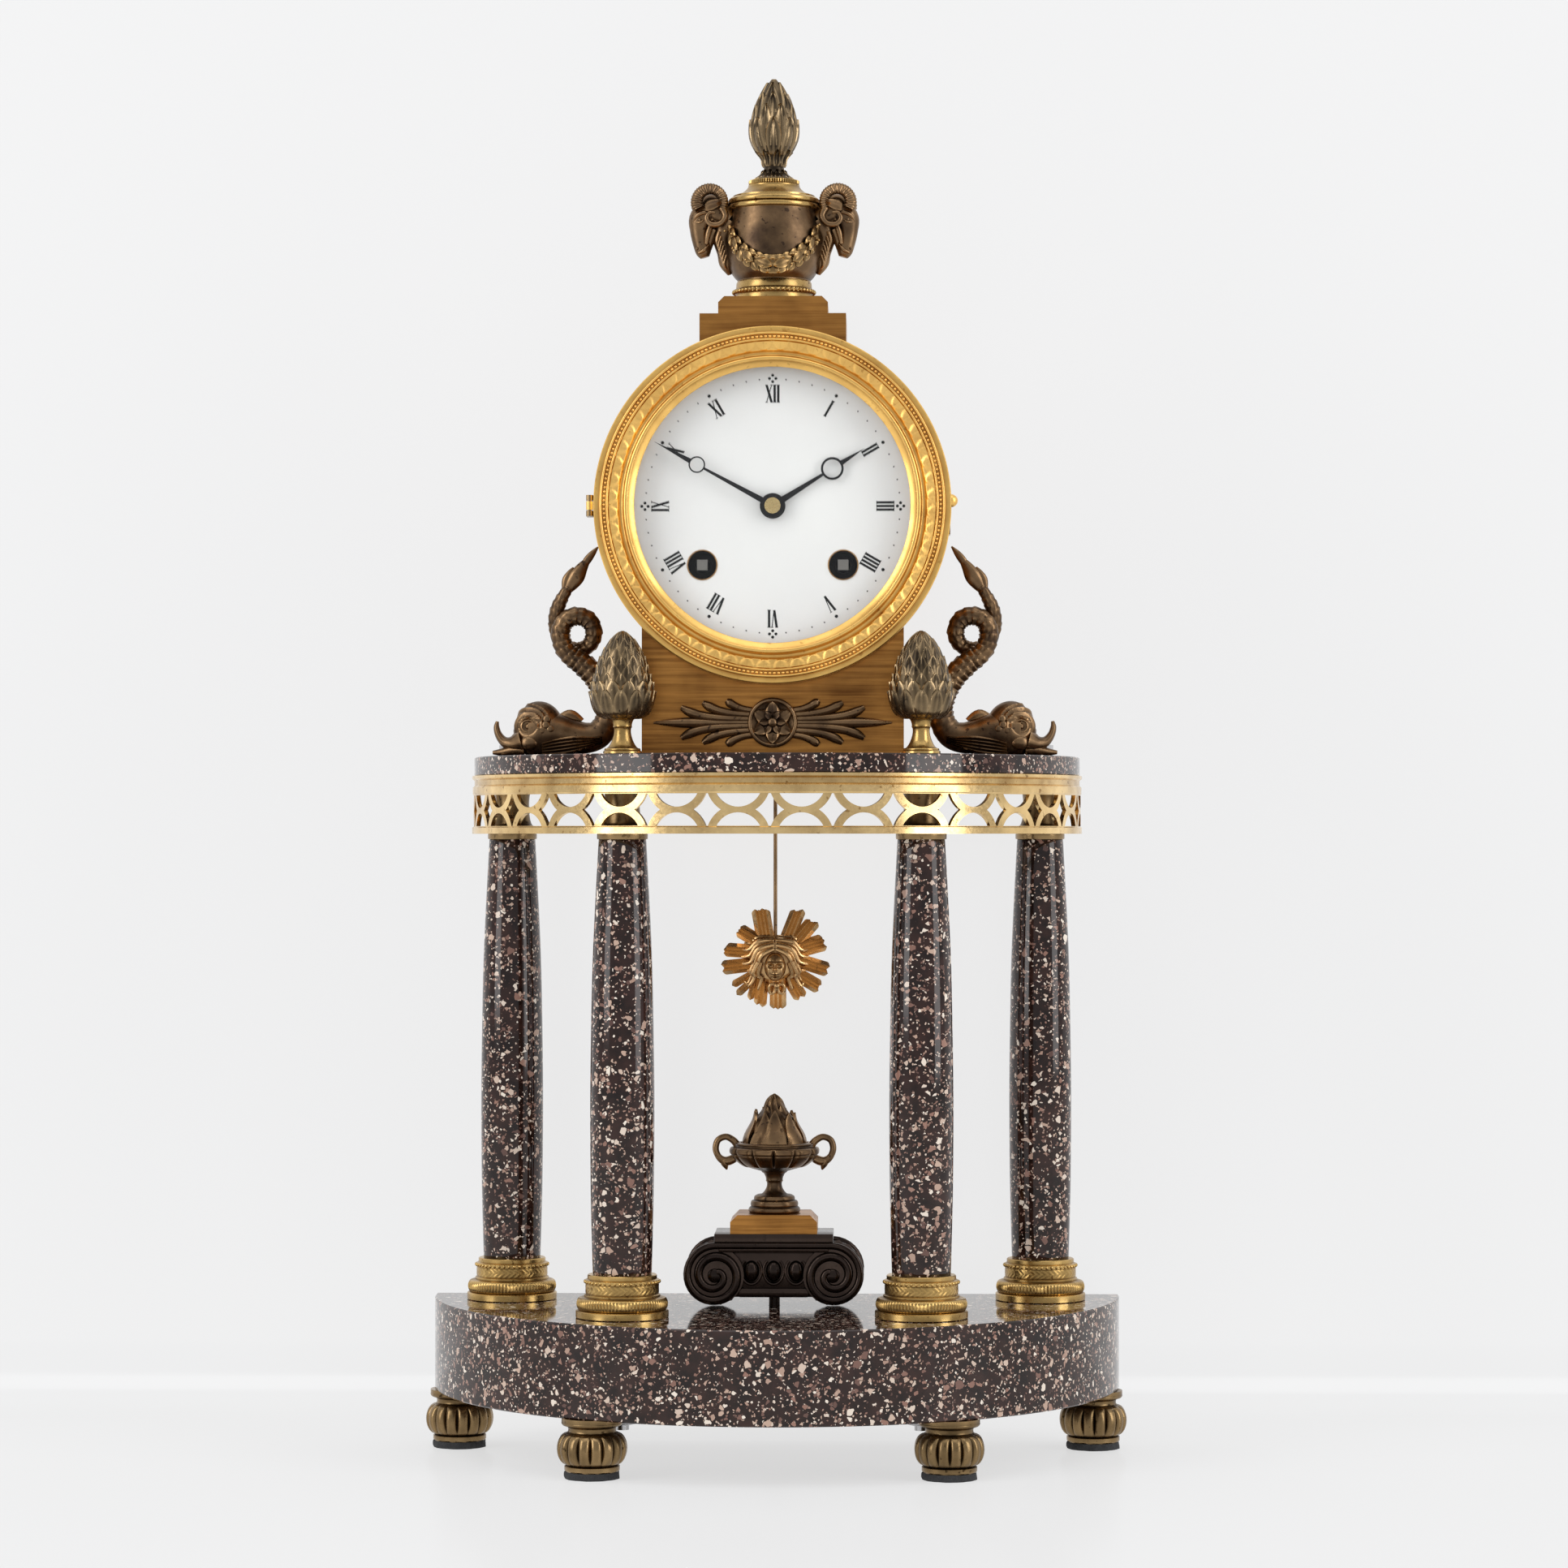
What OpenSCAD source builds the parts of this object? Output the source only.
// Portico mantel clock: a half-round stone stand with four columns carries a pierced gallery,
// a slab and a drum case with urn, dolphins and pinecones. All sizes are in millimetres.
// The front faces -Y, +X is the viewer's right, and z = 0 is the table under the felt pads.
// Depths called "t" run forward from the flat back of the stand.

/* [Stand] */
// Distance of the columns from the centre of the half circle
column_circle_r = 100; // [94:0.5:110]
// Margin of the half-round base outside the circle of the columns
base_margin = 28; // [20:0.5:40]
// Height of the stone base
base_h = 33.6; // [26:0.2:44]
// Diameter of a felt pad
pad_d = 20.5; // [16:0.5:24]
// Thickness of a felt pad
pad_h = 2.5; // [1.5:0.1:4]
// Height of a foot between pad and base
foot_h = 18.9; // [14:0.1:26]
// Widest diameter of a melon-shaped foot
foot_d = 25.2; // [22:0.2:28]
// Diameter of the stud that enters the base
stud_d = 6; // [4:0.5:8]
// Height of the stud inside the base
stud_h = 12; // [6:0.5:18]
// Distance of the feet's circle inside the base's edge
foot_inset = 9; // [6:0.5:14]
// Angle of the back feet from the flat back, degrees
foot_back_angle = 9; // [8:0.5:12]
// Angle of the front feet from the flat back, degrees
foot_front_angle = 58; // [50:0.5:66]

/* [Columns] */
// Angle of the outer columns from the flat back, degrees
outer_angle = 11.5; // [10.5:0.1:14]
// Angle of the inner columns from the flat back, degrees
inner_angle = 57.75; // [54:0.25:62]
// Height of a turned column base
column_base_h = 15.4; // [12:0.1:20]
// Diameter of a column base at its foot
column_base_d = 33.2; // [30:0.2:36]
// Height of a stone shaft
shaft_h = 155.1; // [120:0.5:200]
// Diameter of a shaft at its foot
shaft_foot_d = 21.1; // [19:0.1:22.4]
// Diameter of a shaft at its fullest
shaft_belly_d = 23; // [22:0.1:25]
// Diameter of a shaft at its head
shaft_head_d = 17.1; // [15:0.1:18]
// Height of a capital with its collar
capital_h = 23.5; // [23:0.1:30]
// Diameter of a capital's collar
capital_d = 18.2; // [17:0.1:20]
// Diameter of a tie rod
rod_d = 5; // [4:0.1:6]
// Radial room round a tie rod
rod_clear = 0.2; // [0.1:0.05:0.4]
// Width across the flats of a rod nut
nut_flats = 8.5; // [8:0.1:10]
// Height of a rod nut
nut_h = 4.4; // [3:0.1:6]

/* [Gallery and slab] */
// Margin of the pierced gallery outside the circle of the columns
gallery_margin = 14.3; // [12:0.1:18]
// Height of the gallery
gallery_h = 21.5; // [20:0.1:23]
// Thickness of the pierced zone
gallery_wall = 1.6; // [1.2:0.1:2.4]
// Height of the gallery's lower rail
lower_rail_h = 2.6; // [2:0.1:3.4]
// Height of the gallery's upper band
upper_band_h = 7.1; // [5.5:0.1:8]
// Number of pierced units in the half circle
gallery_units = 16; // [14:1:18]
// Width of the pierced strap
strap_w = 2.8; // [2.2:0.1:3.2]
// Margin of the slab outside the circle of the columns
slab_margin = 13.5; // [12:0.1:17]
// Thickness of the slab
slab_h = 7; // [6:0.1:9]
// Length of the pendulum slot
slot_l = 34; // [30:1:44]
// Width of the pendulum slot
slot_w = 12; // [10:0.5:14]

/* [Case] */
// Outer radius of the drum
drum_r = 62; // [60:0.2:66]
// Wall of the drum
drum_wall = 2; // [1.4:0.1:2.6]
// Depth of the drum
drum_depth = 60; // [58.5:0.5:63]
// Distance of the drum's back from the flat back of the stand
drum_back = 12; // [8:0.5:15]
// Height of the pedestal under the drum
pedestal_h = 27.6; // [24:0.1:34]
// Width of the pedestal
pedestal_w = 94.5; // [90:0.5:98]
// Half width of the pedestal's hollow
pedestal_hollow = 29; // [24:0.5:31]
// Thickness of the pedestal's front and back walls
pedestal_wall = 7; // [5:0.5:8]
// Step of the pedestal's front behind the drum's front
pedestal_step = 2; // [1:0.1:4]
// Distance of each case bolt from the middle
case_bolt_x = 37.5; // [36:0.1:39]
// Room between seated curved faces
seat_clear = 0.05; // [0.02:0.01:0.1]
// Width of the bezel outside the drum
bezel_lip = 2.3; // [1.6:0.1:3.6]
// Width of the bezel, from its rim to its window
bezel_w = 14.7; // [14:0.1:16]
// Depth of the bezel
bezel_depth = 7.4; // [7:0.1:9]
// Thickness of the glass
glass_h = 1.6; // [1.2:0.1:2]
// Gap between bezel and drum, and between leaf and bezel
door_gap = 0.3; // [0.2:0.05:0.5]
// Radius of a hinge knuckle
knuckle_r = 1.3; // [1.2:0.1:1.8]
// Radius of a hinge pin
pin_r = 0.6; // [0.5:0.05:0.7]
// Radial running room of pins, pivots and pipes
run_clear = 0.06; // [0.03:0.01:0.1]
// Height of the moving knuckle
knuckle_h = 3; // [2.6:0.1:5]
// Thickness of the rear door
rear_door_h = 1.7; // [1.4:0.1:2]

/* [Dial and movement] */
// Distance of the dial's edge inside the drum's rim
dial_margin = 8; // [7:0.1:9]
// Thickness of the dial
dial_h = 2; // [1.6:0.1:2.2]
// Depth of the dial's seat behind the drum's front
dial_seat = 4; // [3.8:0.1:4.4]
// Space for the motion work behind the dial
motion_space = 3.5; // [3.4:0.1:3.8]
// Sideways distance of a winding arbor from the centre
arbor_x = 25.4; // [25:0.1:26.2]
// Drop of a winding arbor below the centre
arbor_drop = 21.2; // [20.6:0.1:22]
// Radius of a winding hole in the dial
winding_hole_r = 5.25; // [4.6:0.05:5.8]
// Side of the winding square
winding_square = 3.8; // [3.2:0.1:4.2]
// Distance of the movement plates' edge inside the drum's rim
plate_margin = 9.5; // [8:0.1:10]
// Thickness of a movement plate
plate_h = 2; // [1.6:0.1:2.4]
// Space between the plates
plate_gap = 24; // [23.5:0.1:25]
// Radius of a barrel's drum
barrel_r = 15.5; // [13:0.1:16]
// Height of the pendulum's pivot above the centre
pivot_rise = 32; // [31.5:0.1:33]
// Distance of the pendulum's plane from the flat back
pendulum_t = 28; // [27.8:0.1:28.5]
// Length of the pendulum from pivot to the bob's middle
pendulum_l = 196; // [180:1:205]
// Diameter of the pendulum rod
pendulum_rod_d = 1.4; // [1.2:0.1:1.8]
// Width of the sun bob
bob_w = 41; // [36:0.5:46]
// Height of the sun bob
bob_h = 38.5; // [34:0.5:44]
// Radius of the bell
bell_r = 28; // [24:0.5:29]
// Length of the minute hand
minute_l = 48.6; // [44:0.2:49]
// Length of the hour hand
hour_l = 39; // [34:0.2:42]
// Clock angle of the minute hand, degrees from twelve
minute_angle = 298.5; // [0:0.5:360]
// Clock angle of the hour hand, degrees from twelve
hour_angle = 58; // [0:0.5:360]

/* [Urn and ornaments] */
// Distance of the urn's axis from the flat back
urn_t = 50; // [46:0.5:52]
// Width of the urn's lower plinth
urn_plinth_w = 52.9; // [50:0.1:56]
// Depth of the urn's lower plinth
urn_plinth_depth = 40; // [37:0.5:43]
// Height of the lower plinth above the drum's top
urn_plinth_h = 7.7; // [6:0.1:12]
// Width of the urn's upper step
urn_step_w = 39.7; // [38.5:0.1:44]
// Height of the urn's upper step
urn_step_h = 6.7; // [5:0.1:10]
// Height of the urn's foot ring
urn_foot_h = 7; // [6:0.1:9]
// Diameter of the urn's foot ring
urn_foot_d = 27.9; // [27:0.1:30]
// Height of the urn's bowl
urn_bowl_h = 30.4; // [28.5:0.1:36]
// Diameter of the bowl at its rim
urn_rim_d = 32.9; // [31.5:0.1:36]
// Height of the urn's lid
urn_lid_h = 6.5; // [5:0.1:9]
// Height of the bud finial on the lid
finial_h = 37.6; // [34:0.2:44]
// Widest diameter of the bud finial
finial_d = 17.8; // [16:0.2:20]
// Diameter of the long bolt through the urn
urn_bolt_d = 4; // [3:0.1:4.6]
// Height of a pinecone with its stem
pinecone_h = 44; // [40:0.2:46]
// Widest diameter of a pinecone
pinecone_d = 20; // [17:0.2:21]
// Distance of a dolphin's snout from the middle
dolphin_reach = 104.9; // [98:0.1:108]
// Distance of the dolphins' plane from the flat back
dolphin_t = 40; // [36:0.5:44]
// Width of the mount on the pedestal's front
mount_w = 86; // [70:0.5:89]
// Radius of the rosette in the middle of that mount
rosette_r = 8.7; // [7.5:0.1:9.5]
// Distance of the altar's middle from the flat back
altar_t = 43; // [40:0.5:50]
// Depth of the altar's ionic capital
altar_depth = 30; // [27:0.5:36]
// Radius of a volute roll
volute_r = 12.1; // [11:0.1:13]
// Distance of a volute roll from the altar's middle
volute_x = 21.4; // [20:0.1:25]
// Height of the altar's ionic capital
altar_h = 27.2; // [26:0.1:34]
// Width of the brass step on the altar
altar_step_w = 31.6; // [28:0.1:36]
// Height of the brass step on the altar
altar_step_h = 6.8; // [4:0.1:8]
// Height of the tazza on the step
tazza_h = 25.6; // [23:0.1:30]
// Diameter of the tazza at its rim
tazza_d = 32.6; // [30:0.1:35]
// Height of the flame above the tazza's rim
flame_h = 18.7; // [14:0.1:24]
// Diameter of the altar's long screw
altar_screw_d = 4; // [3:0.1:5]

/* [Hidden] */
$fn = 64;

// Radii that follow the column circle and the drum
base_r = column_circle_r + base_margin;
foot_circle_r = base_r - foot_inset;
gallery_r = column_circle_r + gallery_margin;
slab_r = column_circle_r + slab_margin;
bezel_r = drum_r + bezel_lip;
window_r = bezel_r - bezel_w;
dial_r = drum_r - dial_margin;
plate_r = drum_r - plate_margin;

// Levels from the table up
z_base = pad_h + foot_h;
z_deck = z_base + base_h;
z_shaft = z_deck + column_base_h;
z_capital = z_shaft + shaft_h;
z_slab = z_capital + capital_h;
z_top = z_slab + slab_h;
z_gallery = z_slab - gallery_h;
z_axis = z_top + pedestal_h + drum_r;
z_pivot = z_axis + pivot_rise;
z_bob = z_pivot - pendulum_l;
z_drum_top = z_axis + drum_r;
z_step = z_drum_top + urn_plinth_h;
z_urn = z_step + urn_step_h;
z_bowl = z_urn + urn_foot_h;
z_rim = z_bowl + urn_bowl_h;
z_lid = z_rim + urn_lid_h;
z_altar = z_deck + altar_h;
z_tazza = z_altar + altar_step_h;
z_flame = z_tazza + tazza_h;

// Depths forward of the flat back
t_front = drum_back + drum_depth;
t_seat = t_front - dial_seat;
t_dial = t_seat + dial_h;
t_plate = t_seat - motion_space;
t_inside = t_plate - plate_h;
t_back_inside = t_inside - plate_gap;
t_back = t_back_inside - plate_h;
t_bezel = t_front + door_gap;
t_bezel_front = t_bezel + bezel_depth;
t_glass = t_bezel_front - 4.3;
t_pedestal = t_front - pedestal_step;

// Column and foot places, from the left round to the right
column_angles = [180 - outer_angle, 180 - inner_angle, inner_angle, outer_angle];
foot_angles = [180 - foot_back_angle, 180 - foot_front_angle, foot_front_angle, foot_back_angle];
inner_columns = [1, 2];
outer_columns = [0, 3];
rod_hole_d = rod_d + 2 * rod_clear;
rod_into_cone = 12;
nut_corner_d = nut_flats / cos(30);

// Wheels of the going train: tooth counts and modules
barrel_teeth = 72;
barrel_module = 0.5;
inter_pinion_teeth = 12;
inter_teeth = 72;
inter_module = 0.45;
center_pinion_teeth = 12;
center_teeth = 80;
center_module = 0.35;
third_pinion_teeth = 8;
third_teeth = 75;
third_module = 0.3;
escape_pinion_teeth = 6;
escape_teeth = 33;
escape_r = 9;
escape_rise = 19;
cannon_teeth = 12;
minute_teeth = 36;
cannon_module = 0.625;
minute_pinion_teeth = 10;
hour_teeth = 40;
hour_module = 0.6;

// Centre distances, and arbors placed where two distances meet
function mesh_gap(a, b, m) = (a + b) * m / 2;
function meet(p, rp, q, rq, side) =
    let (d = norm(q - p), u = (q - p) / d)
    let (a = (rp * rp - rq * rq + d * d) / (2 * d))
    let (h = sqrt(max(0, rp * rp - a * a)))
    p + a * u + side * h * [-u[1], u[0]];
function angle_of(p, q) = atan2(q[1] - p[1], q[0] - p[0]);
center_at = [0, 0];
going_at = [arbor_x, -arbor_drop];
strike_at = [-arbor_x, -arbor_drop];
inter_dist = mesh_gap(barrel_teeth, inter_pinion_teeth, barrel_module);
center_dist = mesh_gap(inter_teeth, center_pinion_teeth, inter_module);
third_dist = mesh_gap(center_teeth, third_pinion_teeth, center_module);
escape_dist = mesh_gap(third_teeth, escape_pinion_teeth, third_module);
motion_dist = mesh_gap(cannon_teeth, minute_teeth, cannon_module);
inter_at = meet(center_at, center_dist, going_at, inter_dist, 1);
escape_at = [0, escape_rise];
third_at = meet(center_at, third_dist, escape_at, escape_dist, 1);
minute_at = [0, -motion_dist];
pivot_at = [0, pivot_rise];
bell_at = [14, 0];
hammer_at = [-24, -34];
hammer_head_at = [bell_at[0] - bell_r - 5.5, 0];
pillar_circle_r = plate_r - 6.5;
pillar_angles = [48, 132, 258, 282];

// Planes of the train, between the plates and behind the dial
barrel_wheel_room = 2.5;
barrel_wheel_h = 2;
barrel_end_room = 6;
inter_room = 4;
center_room = 13.5;
third_room = 8.5;
escape_room = 3.5;
t_barrel_wheel = t_back_inside + barrel_wheel_room;
t_barrel = t_barrel_wheel + barrel_wheel_h;
t_barrel_end = t_inside - barrel_end_room;
t_inter_wheel = t_inside - inter_room;
t_center_wheel = t_back_inside + center_room;
t_third_wheel = t_back_inside + third_room;
t_escape_wheel = t_back_inside + escape_room;
wheel_h = 1.5;
pinion_h = 2.6;
t_cannon = t_plate + 0.3;
t_hour_wheel = t_cannon + 1.6;
motion_h = 1.2;
t_hour_hand = t_dial + 1;
t_minute_hand = t_hour_hand + 1.5;
hand_h = 0.7;
cannon_pipe_r = 2.2;
hour_pipe_r = 3.2;
pivot_r = 0.7;
arbor_r = 1.2;
winding_r = 2.75;
t_crutch = pendulum_t + 3.5;

// Hinges stand just outside the rim that they carry
hinge_x = -(bezel_r + knuckle_r + 0.2);
hinge_t = t_bezel + 1.7;
leaf_end = knuckle_h / 2 + door_gap;
leaf_h = 2;
rear_leaf_h = 5;
leaf_depth = 5;
rear_knuckle_r = 1.2;
rear_door_t = drum_back - door_gap - rear_door_h;
rear_hinge_x = drum_r + rear_knuckle_r + 0.4;
rear_hinge_t = rear_door_t + rear_door_h / 2;
glass_r = window_r + 2.5;

// Shared placing helpers
module placed() {
    translate([0, base_r / 2, 0]) children();
}
module on_circle(r, a) {
    translate([r * cos(a), -r * sin(a), 0]) children();
}
module forward(t, h) {
    translate([0, -t, z_axis]) rotate([90, 0, 0]) linear_extrude(h) children();
}
module round_bar(p, r, t, h) {
    translate([p[0], -t, z_axis + p[1]]) rotate([90, 0, 0]) cylinder(r = r, h = h);
}
module turned_face() {
    translate([0, 0, z_axis]) rotate([90, 0, 0]) rotate_extrude() children();
}
module half_disc(r, z, h, edge) {
    rotate([0, 0, 180]) rotate_extrude(angle = 180) polygon([
        [0, z], [r - edge, z], [r, z + edge], [r, z + h - edge], [r - edge, z + h], [0, z + h]
    ]);
}
module half_ring(points) {
    rotate([0, 0, 180]) rotate_extrude(angle = 180) polygon(points);
}
module hex_nut(z, bore) {
    translate([0, 0, z]) difference() {
        cylinder(d = nut_corner_d, h = nut_h, $fn = 6);
        translate([0, 0, -1]) cylinder(d = bore, h = nut_h + 2, $fn = 64);
    }
}

// A wheel outline of straight-sided teeth, with a tooth standing at the phase angle
tooth_top = 0.72;
tooth_foot = 1.05;
tooth_profile = [[-0.27, 0], [-0.085, 1], [0.085, 1], [0.27, 0]];
module gear_outline(teeth, mod, phase) {
    low = teeth * mod / 2 - tooth_foot * mod;
    high = teeth * mod / 2 + tooth_top * mod;
    polygon([
        for (i = [0 : teeth - 1], p = tooth_profile)
            let (a = phase + (i + p[0]) * 360 / teeth, r = p[1] == 1 ? high : low)
                [r * cos(a), r * sin(a)]
    ]);
}
module gear(at, teeth, mod, phase, t, h) {
    forward(t, h) translate(at) gear_outline(teeth, mod, phase);
}
function driven_phase(a, teeth) = a + 180 - 180 / teeth;

// A tube swept along a path in the vertical plane, closed at both ends
function spline(a, b, c, d, u) =
    ((2 * b) + (c - a) * u + (2 * a - 5 * b + 4 * c - d) * u * u
        + (3 * b - a - 3 * c + d) * u * u * u) / 2;
function smooth_path(p, steps) = [
    for (i = [0 : len(p) - 2], k = [0 : steps - 1])
        let (last = len(p) - 1)
            spline(p[max(0, i - 1)], p[i], p[i + 1], p[min(last, i + 2)], k / steps),
    p[len(p) - 1]
];
module swept_tube(path, sides, flat) {
    n = len(path);
    rings = [
        for (i = [0 : n - 1])
            let (p = path[i], d = path[min(n - 1, i + 1)] - path[max(0, i - 1)])
            let (len_d = norm([d[0], d[1]]), nx = -d[1] / len_d, nz = d[0] / len_d)
                for (k = [0 : sides - 1])
                    let (a = 360 * k / sides, c = p[2] * cos(a), s = p[2] * flat * sin(a))
                        [p[0] + nx * c, -s, p[1] + nz * c]
    ];
    ends = [
        [path[0][0], 0, path[0][1]],
        [path[n - 1][0], 0, path[n - 1][1]]
    ];
    skin = [
        for (i = [0 : n - 2], k = [0 : sides - 1])
            let (m = (k + 1) % sides, a = i * sides, b = a + sides)
                each [[a + k, b + k, a + m], [a + m, b + k, b + m]]
    ];
    caps = [
        for (k = [0 : sides - 1])
            let (m = (k + 1) % sides, e = (n - 1) * sides)
                each [[n * sides, k, m], [n * sides + 1, e + m, e + k]]
    ];
    polyhedron(concat(rings, ends), concat(skin, caps), convexity = 8);
}

// The stone base, with bores for rods, studs and the altar's screw
module base_plinth() {
    color([0.16, 0.12, 0.12]) difference() {
        half_disc(base_r, z_base, base_h, 0.5);
        for (a = column_angles)
            on_circle(column_circle_r, a) translate([0, 0, z_base - 1])
                cylinder(d = rod_hole_d, h = base_h + 2);
        for (a = foot_angles)
            on_circle(foot_circle_r, a) translate([0, 0, z_base - 1])
                cylinder(d = stud_d + 2 * rod_clear, h = stud_h + 1.5);
        translate([0, -altar_t, z_base - 1])
            cylinder(d = altar_screw_d + 2 * rod_clear, h = base_h + 2);
    }
}

// Melon-shaped turned feet on studs
module bun_foot() {
    r = foot_d / 2;
    rotate_extrude() polygon([
        [0, pad_h], [r * 0.78, pad_h], [r * 0.78, pad_h + foot_h * 0.13],
        [r * 0.92, pad_h + foot_h * 0.26], [r, pad_h + foot_h * 0.45],
        [r * 0.93, pad_h + foot_h * 0.64], [r * 0.7, pad_h + foot_h * 0.78],
        [r * 0.7, pad_h + foot_h * 0.88], [r * 0.86, pad_h + foot_h * 0.92],
        [r * 0.86, z_base], [stud_d / 2, z_base], [stud_d / 2, z_base + stud_h], [0, z_base + stud_h]
    ]);
}
module bun_feet() {
    color([0.8, 0.6, 0.28]) for (a = foot_angles) on_circle(foot_circle_r, a) bun_foot();
}
module felt_pads() {
    color([0.2, 0.2, 0.21]) for (a = foot_angles)
        on_circle(foot_circle_r, a) cylinder(d = pad_d, h = pad_h);
}

// Stone shafts with a gentle swell, bored for the tie rods
shaft_steps = 16;
shaft_peak = 0.36;
function shaft_radius(u) =
    u < shaft_peak
        ? shaft_foot_d / 2 + (shaft_belly_d - shaft_foot_d) / 2 * sin(90 * u / shaft_peak)
        : shaft_head_d / 2
            + (shaft_belly_d - shaft_head_d) / 2 * cos(90 * (u - shaft_peak) / (1 - shaft_peak));
module column_shaft(i) {
    color([0.17, 0.12, 0.12]) on_circle(column_circle_r, column_angles[i])
        rotate_extrude() polygon(concat(
            [[rod_hole_d / 2, z_shaft]],
            [for (k = [0 : shaft_steps])
                [shaft_radius(k / shaft_steps), z_shaft + shaft_h * k / shaft_steps]],
            [[rod_hole_d / 2, z_capital]]
        ));
}

// Turned column bases: plinth ring, torus, fillet, band and collar
module column_bases() {
    r = column_base_d / 2;
    h = column_base_h;
    torus_r = r - 0.35;
    color([0.82, 0.62, 0.3]) for (a = column_angles) on_circle(column_circle_r, a)
        rotate_extrude() polygon([
            [rod_hole_d / 2, z_deck], [r, z_deck], [r, z_deck + h * 0.17],
            [torus_r - 0.9, z_deck + h * 0.18], [torus_r, z_deck + h * 0.26],
            [torus_r, z_deck + h * 0.37], [torus_r - 0.9, z_deck + h * 0.46],
            [r - 3.2, z_deck + h * 0.5], [r - 3.6, z_deck + h * 0.56],
            [r - 3.6, z_deck + h * 0.78], [r - 3.2, z_deck + h * 0.8],
            [r - 3.2, z_deck + h * 0.87], [r - 4.2, z_deck + h * 0.9],
            [r - 4.2, z_shaft], [rod_hole_d / 2, z_shaft]
        ]);
}

// Spool-shaped capitals with a beaded collar
module column_capitals() {
    r = capital_d / 2;
    color([0.82, 0.62, 0.3]) for (a = column_angles) on_circle(column_circle_r, a)
        rotate_extrude() polygon([
            [rod_hole_d / 2, z_capital], [r, z_capital], [r, z_capital + 2],
            [r - 0.5, z_capital + 2.4], [r - 0.5, z_capital + 4.5],
            [r * 0.74, z_capital + capital_h * 0.4], [r * 0.66, z_capital + capital_h * 0.6],
            [r * 0.74, z_capital + capital_h * 0.76], [r * 0.86, z_capital + capital_h * 0.84],
            [r * 0.86, z_slab], [rod_hole_d / 2, z_slab]
        ]);
}

// Tie rods through the columns; the inner ones enter the pinecones, the outer ones end in nuts
module tie_rods() {
    color([0.55, 0.5, 0.42]) {
        for (i = [0 : 3]) on_circle(column_circle_r, column_angles[i]) {
            foot = z_base - nut_h - 2;
            head = len(search(i, inner_columns)) > 0 ? z_top + rod_into_cone : z_top + nut_h + 1;
            translate([0, 0, foot]) cylinder(d = rod_d, h = head - foot);
            hex_nut(z_base - nut_h, rod_d + 2 * run_clear);
        }
        for (i = outer_columns) on_circle(column_circle_r, column_angles[i])
            hex_nut(z_top, rod_d + 2 * run_clear);
    }
}

// The pierced gallery: straps bow up and down between two rails
pierced_h = gallery_h - lower_rail_h - upper_band_h;
unit_angle = 180 / gallery_units;
unit_w = gallery_r * unit_angle * PI / 180;
bow_half = unit_w * 0.35;
bow_depth = (pierced_h - 2) / 2;
bow_r = (bow_half * bow_half + bow_depth * bow_depth) / (2 * bow_depth);
bow_rise = bow_r - bow_depth;
rail_lip = 0.2;
module pierced_field() {
    translate([-unit_w / 2, rail_lip]) square([unit_w, pierced_h - 2 * rail_lip]);
}
module bow_cut(up) {
    y = up ? pierced_h + bow_rise : -bow_rise;
    intersection() {
        pierced_field();
        translate([0, y]) circle(r = bow_r);
    }
}
module diamond_cut() {
    difference() {
        pierced_field();
        for (x = [-unit_w / 2, unit_w / 2], y = [pierced_h + bow_rise, -bow_rise])
            translate([x, y]) circle(r = bow_r + strap_w);
    }
}
module through_wall(a) {
    z = z_gallery + lower_rail_h;
    rotate([0, 0, -a]) translate([gallery_r - 4 * gallery_wall, 0, z]) rotate([90, 0, 90])
        linear_extrude(6 * gallery_wall) children();
}
module gallery_frieze() {
    r = gallery_r;
    w = gallery_wall;
    low = z_gallery + lower_rail_h;
    high = low + pierced_h;
    color([0.85, 0.65, 0.32]) difference() {
        half_ring([
            [r - w - 1.2, z_gallery], [r, z_gallery], [r, low - 0.3], [r - 0.5, low],
            [r - 0.5, high], [r - 0.2, high + 0.4], [r - 0.2, high + upper_band_h * 0.4],
            [r - 0.9, high + upper_band_h * 0.5], [r - 0.9, high + upper_band_h * 0.75],
            [r, high + upper_band_h * 0.85], [r, z_slab], [r - w - 1.2, z_slab],
            [r - w - 1.2, high], [r - w - 0.5, high], [r - w - 0.5, low], [r - w - 1.2, low]
        ]);
        for (i = [0 : gallery_units - 1], up = [true, false])
            through_wall((i + 0.5) * unit_angle) bow_cut(up);
        for (i = [1 : gallery_units - 1]) through_wall(i * unit_angle) diamond_cut();
    }
}

// The slab over the columns, slotted for the pendulum
module entablature_slab() {
    color([0.17, 0.12, 0.12]) difference() {
        half_disc(slab_r, z_slab, slab_h, 0.4);
        for (a = column_angles) on_circle(column_circle_r, a) translate([0, 0, z_slab - 1])
            cylinder(d = rod_hole_d, h = slab_h + 2);
        for (x = [-case_bolt_x, case_bolt_x]) translate([x, -case_bolt_t, z_slab - 1])
            cylinder(d = rod_hole_d, h = slab_h + 2);
        translate([-slot_l / 2, -pendulum_t - slot_w / 2, z_slab - 1])
            cube([slot_l, slot_w, slab_h + 2]);
    }
}

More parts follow.
